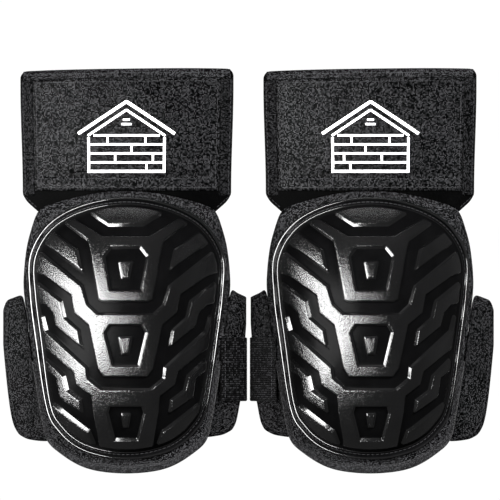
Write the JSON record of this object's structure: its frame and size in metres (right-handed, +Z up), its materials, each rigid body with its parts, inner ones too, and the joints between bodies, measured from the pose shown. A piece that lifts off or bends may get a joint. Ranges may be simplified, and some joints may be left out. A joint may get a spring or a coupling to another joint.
{
  "type": "knee pads",
  "caption": "Pair of strap-on work knee pads with ridged hard shells, padded fabric bodies, thigh flaps, side wings and elastic straps with hook clips.",
  "frame": {"origin": "between the two pads, at the mid-height of the shells, where the shells' side edges would meet a flat plane; the pads are held up by the wearer's legs", "axes": "+X to the right pad as seen from the front, +Y back towards the legs, +Z up the leg"},
  "size_m": [0.3852, 0.1622, 0.3151],
  "materials": {
    "shell_plastic": "glossy black, fine grain on the raised plates",
    "body_fabric": "black plain weave polyester",
    "ballistic_weave": "black coarse ballistic weave",
    "wing_fabric": "black fine matte fabric",
    "liner_fabric": "black brushed knit",
    "binding": "black edge tape and webbing",
    "elastic": "black ribbed elastic webbing",
    "foam": "closed cell foam",
    "gel": "translucent gel",
    "clip_plastic": "black moulded nylon"
  },
  "bodies": {
    "left_pad": {"left_shell": "shell_plastic", "left_front_cover": "body_fabric", "left_foam_core": "foam", "left_gel_insert": "gel", "left_knee_liner": "liner_fabric", "left_lower_binding": "binding"},
    "left_thigh_flap": {"left_flap_front": "ballistic_weave", "left_flap_outer_binding": "body_fabric", "left_flap_inner_binding": "body_fabric", "left_flap_top_hem": "body_fabric", "left_flap_foam": "foam", "left_flap_lining": "liner_fabric", "left_thigh_catch": "clip_plastic", "left_thigh_catch_loop": "binding"},
    "left_outer_wing": {"left_outer_wing": "wing_fabric", "left_calf_catch": "clip_plastic", "left_calf_catch_loop": "binding"},
    "left_inner_wing": {"left_inner_wing": "wing_fabric", "left_elastic_band": "elastic"},
    "left_calf_strap": {"left_calf_strap": "elastic"},
    "left_calf_clip": {"left_calf_clip": "clip_plastic"},
    "left_calf_hook_tab": {"left_calf_hook_tab": "elastic"},
    "left_thigh_strap": {"left_thigh_strap": "elastic"},
    "left_thigh_clip": {"left_thigh_clip": "clip_plastic"},
    "left_thigh_hook_tab": {"left_thigh_hook_tab": "elastic"},
    "right_pad": {"right_shell": "shell_plastic", "right_front_cover": "body_fabric", "right_foam_core": "foam", "right_gel_insert": "gel", "right_knee_liner": "liner_fabric", "right_lower_binding": "binding"},
    "right_thigh_flap": {"right_flap_front": "ballistic_weave", "right_flap_outer_binding": "body_fabric", "right_flap_inner_binding": "body_fabric", "right_flap_top_hem": "body_fabric", "right_flap_foam": "foam", "right_flap_lining": "liner_fabric", "right_thigh_catch": "clip_plastic", "right_thigh_catch_loop": "binding"},
    "right_outer_wing": {"right_outer_wing": "wing_fabric", "right_calf_catch": "clip_plastic", "right_calf_catch_loop": "binding"},
    "right_inner_wing": {"right_inner_wing": "wing_fabric", "right_elastic_band": "elastic"},
    "right_calf_strap": {"right_calf_strap": "elastic"},
    "right_calf_clip": {"right_calf_clip": "clip_plastic"},
    "right_calf_hook_tab": {"right_calf_hook_tab": "elastic"},
    "right_thigh_strap": {"right_thigh_strap": "elastic"},
    "right_thigh_clip": {"right_thigh_clip": "clip_plastic"},
    "right_thigh_hook_tab": {"right_thigh_hook_tab": "elastic"}
  },
  "joints": [
    {"name": "pad_spacing", "type": "slide", "parent": "left_pad", "child": "right_pad", "axis": [1, 0, 0], "range_m": [0, 0.2]},
    {"name": "left_thigh_flap_tilt", "type": "hinge", "parent": "left_pad", "child": "left_thigh_flap", "pos_m": [-0.0952, 0.025, 0.106], "axis": [-1, 0, 0], "range_deg": [0, 20]},
    {"name": "left_outer_wing_fold", "type": "hinge", "parent": "left_pad", "child": "left_outer_wing", "pos_m": [-0.1652, 0.02145, -0.0282], "axis": [0.1713, -0.0776, -0.9822], "range_deg": [0, 20]},
    {"name": "left_inner_wing_fold", "type": "hinge", "parent": "left_pad", "child": "left_inner_wing", "pos_m": [-0.0252, 0.02145, -0.0282], "axis": [0.1713, 0.0776, 0.9822], "range_deg": [0, 15]},
    {"name": "left_calf_strap_swing", "type": "hinge", "parent": "left_inner_wing", "child": "left_calf_strap", "pos_m": [-0.005, 0.042, -0.0322], "axis": [0, 0, -1], "range_deg": [-25, 35]},
    {"name": "left_calf_clip_turn", "type": "hinge", "parent": "left_calf_strap", "child": "left_calf_clip", "pos_m": [-0.11771, 0.10316, -0.0322], "axis": [0, 0, -1], "range_deg": [0, 60]},
    {"name": "left_calf_tab_peel", "type": "hinge", "parent": "left_calf_strap", "child": "left_calf_hook_tab", "pos_m": [-0.11418, 0.10671, -0.0322], "axis": [0, 0, 1], "range_deg": [0, 45]},
    {"name": "left_thigh_strap_swing", "type": "hinge", "parent": "left_thigh_flap", "child": "left_thigh_strap", "pos_m": [-0.0152, 0.0325, 0.158], "axis": [0, 0, -1], "range_deg": [-25, 35]},
    {"name": "left_thigh_clip_turn", "type": "hinge", "parent": "left_thigh_strap", "child": "left_thigh_clip", "pos_m": [-0.10728, 0.09011, 0.158], "axis": [0, 0, -1], "range_deg": [0, 60]},
    {"name": "left_thigh_tab_peel", "type": "hinge", "parent": "left_thigh_strap", "child": "left_thigh_hook_tab", "pos_m": [-0.10375, 0.09365, 0.158], "axis": [0, 0, 1], "range_deg": [0, 45]},
    {"name": "right_thigh_flap_tilt", "type": "hinge", "parent": "right_pad", "child": "right_thigh_flap", "pos_m": [0.0952, 0.025, 0.106], "axis": [-1, 0, 0], "range_deg": [0, 20]},
    {"name": "right_outer_wing_fold", "type": "hinge", "parent": "right_pad", "child": "right_outer_wing", "pos_m": [0.1652, 0.02145, -0.0282], "axis": [0.1713, 0.0776, 0.9822], "range_deg": [0, 20]},
    {"name": "right_inner_wing_fold", "type": "hinge", "parent": "right_pad", "child": "right_inner_wing", "pos_m": [0.0252, 0.02145, -0.0282], "axis": [0.1713, -0.0776, -0.9822], "range_deg": [0, 15]},
    {"name": "right_calf_strap_swing", "type": "hinge", "parent": "right_inner_wing", "child": "right_calf_strap", "pos_m": [0.005, 0.042, -0.0322], "axis": [0, 0, 1], "range_deg": [-25, 35]},
    {"name": "right_calf_clip_turn", "type": "hinge", "parent": "right_calf_strap", "child": "right_calf_clip", "pos_m": [0.11771, 0.10316, -0.0322], "axis": [0, 0, 1], "range_deg": [0, 60]},
    {"name": "right_calf_tab_peel", "type": "hinge", "parent": "right_calf_strap", "child": "right_calf_hook_tab", "pos_m": [0.11418, 0.10671, -0.0322], "axis": [0, 0, -1], "range_deg": [0, 45]},
    {"name": "right_thigh_strap_swing", "type": "hinge", "parent": "right_thigh_flap", "child": "right_thigh_strap", "pos_m": [0.0152, 0.0325, 0.158], "axis": [0, 0, 1], "range_deg": [-25, 35]},
    {"name": "right_thigh_clip_turn", "type": "hinge", "parent": "right_thigh_strap", "child": "right_thigh_clip", "pos_m": [0.10728, 0.09011, 0.158], "axis": [0, 0, 1], "range_deg": [0, 60]},
    {"name": "right_thigh_tab_peel", "type": "hinge", "parent": "right_thigh_strap", "child": "right_thigh_hook_tab", "pos_m": [0.10375, 0.09365, 0.158], "axis": [0, 0, -1], "range_deg": [0, 45]}
  ]
}
